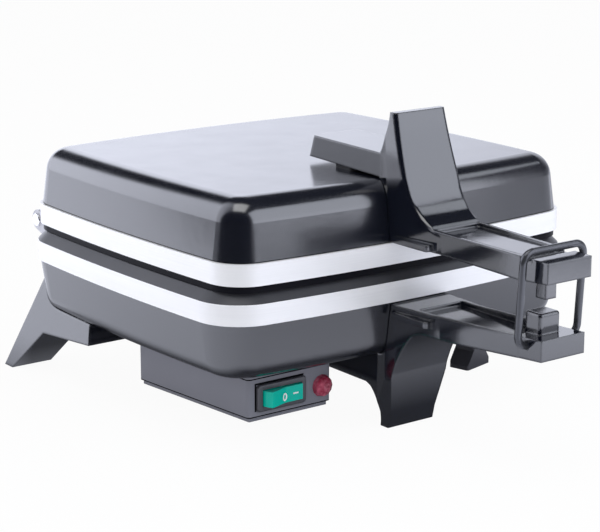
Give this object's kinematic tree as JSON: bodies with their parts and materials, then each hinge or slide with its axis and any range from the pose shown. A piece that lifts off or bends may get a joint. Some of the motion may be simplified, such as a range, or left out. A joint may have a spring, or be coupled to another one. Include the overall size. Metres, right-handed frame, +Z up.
{
  "type": "sandwich maker",
  "caption": "Contact sandwich maker: hinged lid and base with cast pocketed plates, a handle on each half, a wire bail catch, and a switch box with rocker and lamp under the base",
  "frame": {"origin": "middle of the bounding box, on the surface that the feet stand on", "axes": "+Z up, -Y to the handles, +X to the right when facing the handles from behind the object's front"},
  "size_m": [0.2574, 0.3612, 0.1793],
  "materials": {
    "lower_shell": "black enamel, semi gloss",
    "lower_shell_screws": "zinc plated",
    "lower_plate": "cast, brushed band",
    "lower_heating_element": "dull sheath",
    "lower_element_clamp": "zinc plated",
    "lower_clamp_screw": "zinc plated",
    "thermostat": "dull",
    "control_box": "satin black",
    "control_box_cover": "satin black",
    "control_box_screws": "zinc plated",
    "cover_screws": "zinc plated",
    "switch_body": "black",
    "pilot_lens": "red, translucent",
    "pilot_body": "white",
    "cord_gland": "black",
    "terminal_block": "white",
    "rear_leg_left": "black phenolic",
    "rear_leg_right": "black phenolic",
    "rear_leg_screws": "zinc plated",
    "rear_leg_nuts": "zinc plated",
    "side_foot": "black phenolic",
    "lower_handle": "black phenolic",
    "lower_handle_screws": "zinc plated",
    "hinge_pins": "bright",
    "upper_shell": "black enamel, semi gloss",
    "upper_shell_screws": "zinc plated",
    "upper_plate": "cast, brushed band",
    "upper_heating_element": "dull sheath",
    "upper_element_clamp": "zinc plated",
    "upper_clamp_screw": "zinc plated",
    "upper_handle": "black phenolic",
    "upper_handle_screws": "zinc plated",
    "handle_spacer": "black",
    "rocker": "green, translucent",
    "latch_wire": "bright drawn wire"
  },
  "bodies": {
    "base": {"lower_shell": "lower_shell", "lower_shell_screws": "lower_shell_screws", "lower_plate": "lower_plate", "lower_heating_element": "lower_heating_element", "lower_element_clamp": "lower_element_clamp", "lower_clamp_screw": "lower_clamp_screw", "thermostat": "thermostat", "control_box": "control_box", "control_box_cover": "control_box_cover", "control_box_screws": "control_box_screws", "cover_screws": "cover_screws", "switch_body": "switch_body", "pilot_lens": "pilot_lens", "pilot_body": "pilot_body", "cord_gland": "cord_gland", "terminal_block": "terminal_block", "rear_leg_left": "rear_leg_left", "rear_leg_right": "rear_leg_right", "rear_leg_screws": "rear_leg_screws", "rear_leg_nuts": "rear_leg_nuts", "side_foot": "side_foot", "lower_handle": "lower_handle", "lower_handle_screws": "lower_handle_screws", "hinge_pins": "hinge_pins"},
    "lid": {"upper_shell": "upper_shell", "upper_shell_screws": "upper_shell_screws", "upper_plate": "upper_plate", "upper_heating_element": "upper_heating_element", "upper_element_clamp": "upper_element_clamp", "upper_clamp_screw": "upper_clamp_screw", "upper_handle": "upper_handle", "upper_handle_screws": "upper_handle_screws", "handle_spacer": "handle_spacer"},
    "latch": {"latch_wire": "latch_wire"},
    "rocker": {"rocker": "rocker"}
  },
  "joints": [
    {"name": "lid_hinge", "type": "hinge", "parent": "base", "child": "lid", "pos_m": [0, 0.1744, 0.09], "axis": [-1, 0, 0], "range_deg": [0, 180]},
    {"name": "latch_pivot", "type": "hinge", "parent": "base", "child": "latch", "pos_m": [0, -0.1661, 0.0734], "axis": [1, 0, 0], "range_deg": [0, 175]},
    {"name": "rocker_pivot", "type": "hinge", "parent": "base", "child": "rocker", "pos_m": [-0.075, -0.0371, 0.0262], "axis": [0, 0, -1], "range_deg": [0, 18]}
  ]
}
